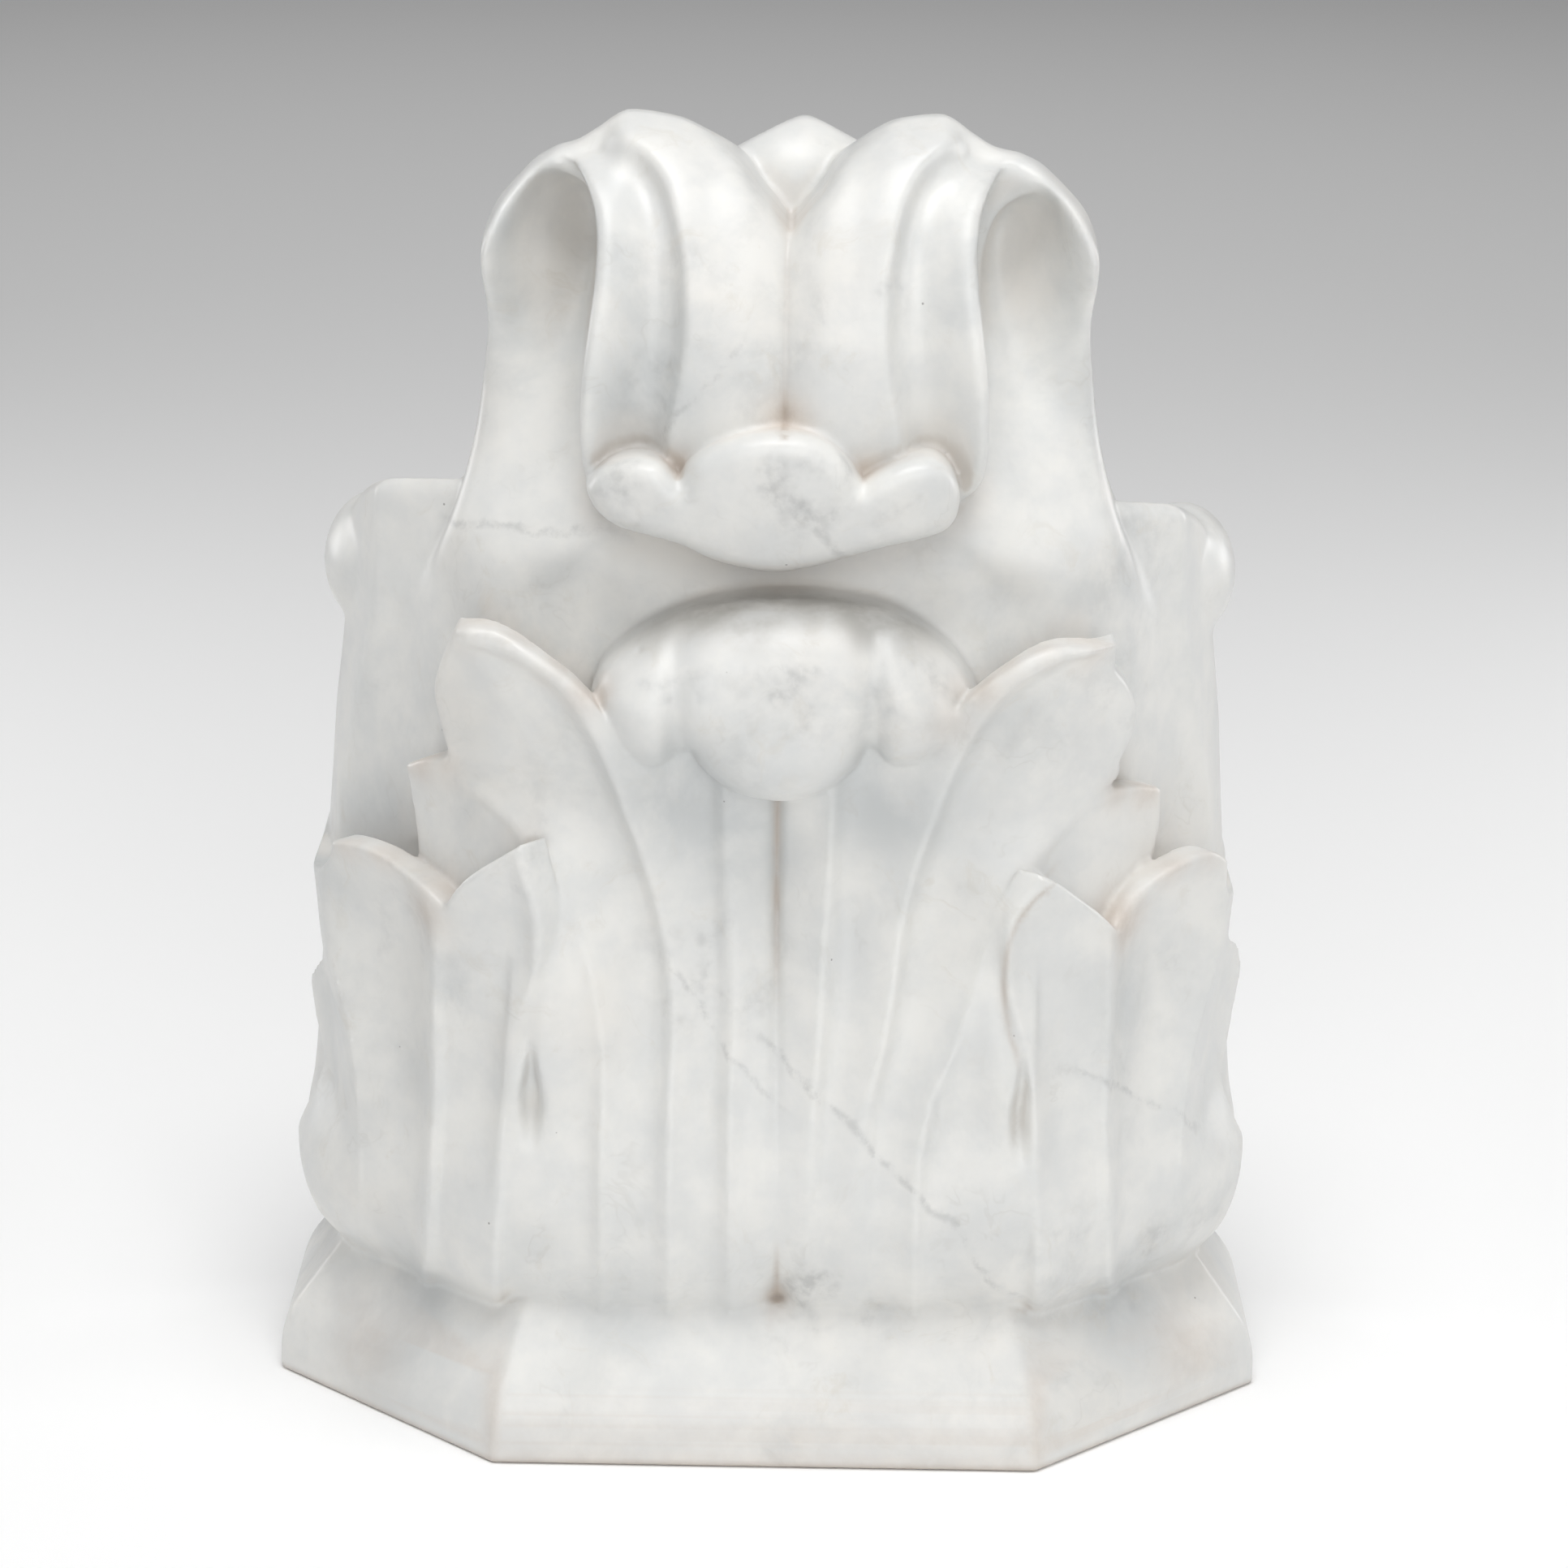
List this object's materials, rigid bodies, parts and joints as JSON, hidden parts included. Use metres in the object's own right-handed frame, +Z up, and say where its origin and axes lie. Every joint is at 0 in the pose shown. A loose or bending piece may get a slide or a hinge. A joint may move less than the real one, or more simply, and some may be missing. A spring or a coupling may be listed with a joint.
{
  "type": "marble corbel",
  "caption": "Carved marble corbel: an acanthus leaf in two tiers with curled tips, on a half-octagonal plinth, with a flat back.",
  "frame": {"origin": "middle of the underside, half way between the plinth's front face and the flat back", "axes": "+Z up, +Y towards the flat back and the wall, +X to the right seen from the front"},
  "size_m": [0.38, 0.172, 0.4947],
  "materials": {
    "white_marble": "polished, grey-veined, with brownish patina in the hollows"
  },
  "bodies": {
    "root": {"corbel_block": "white_marble"}
  },
  "joints": []
}
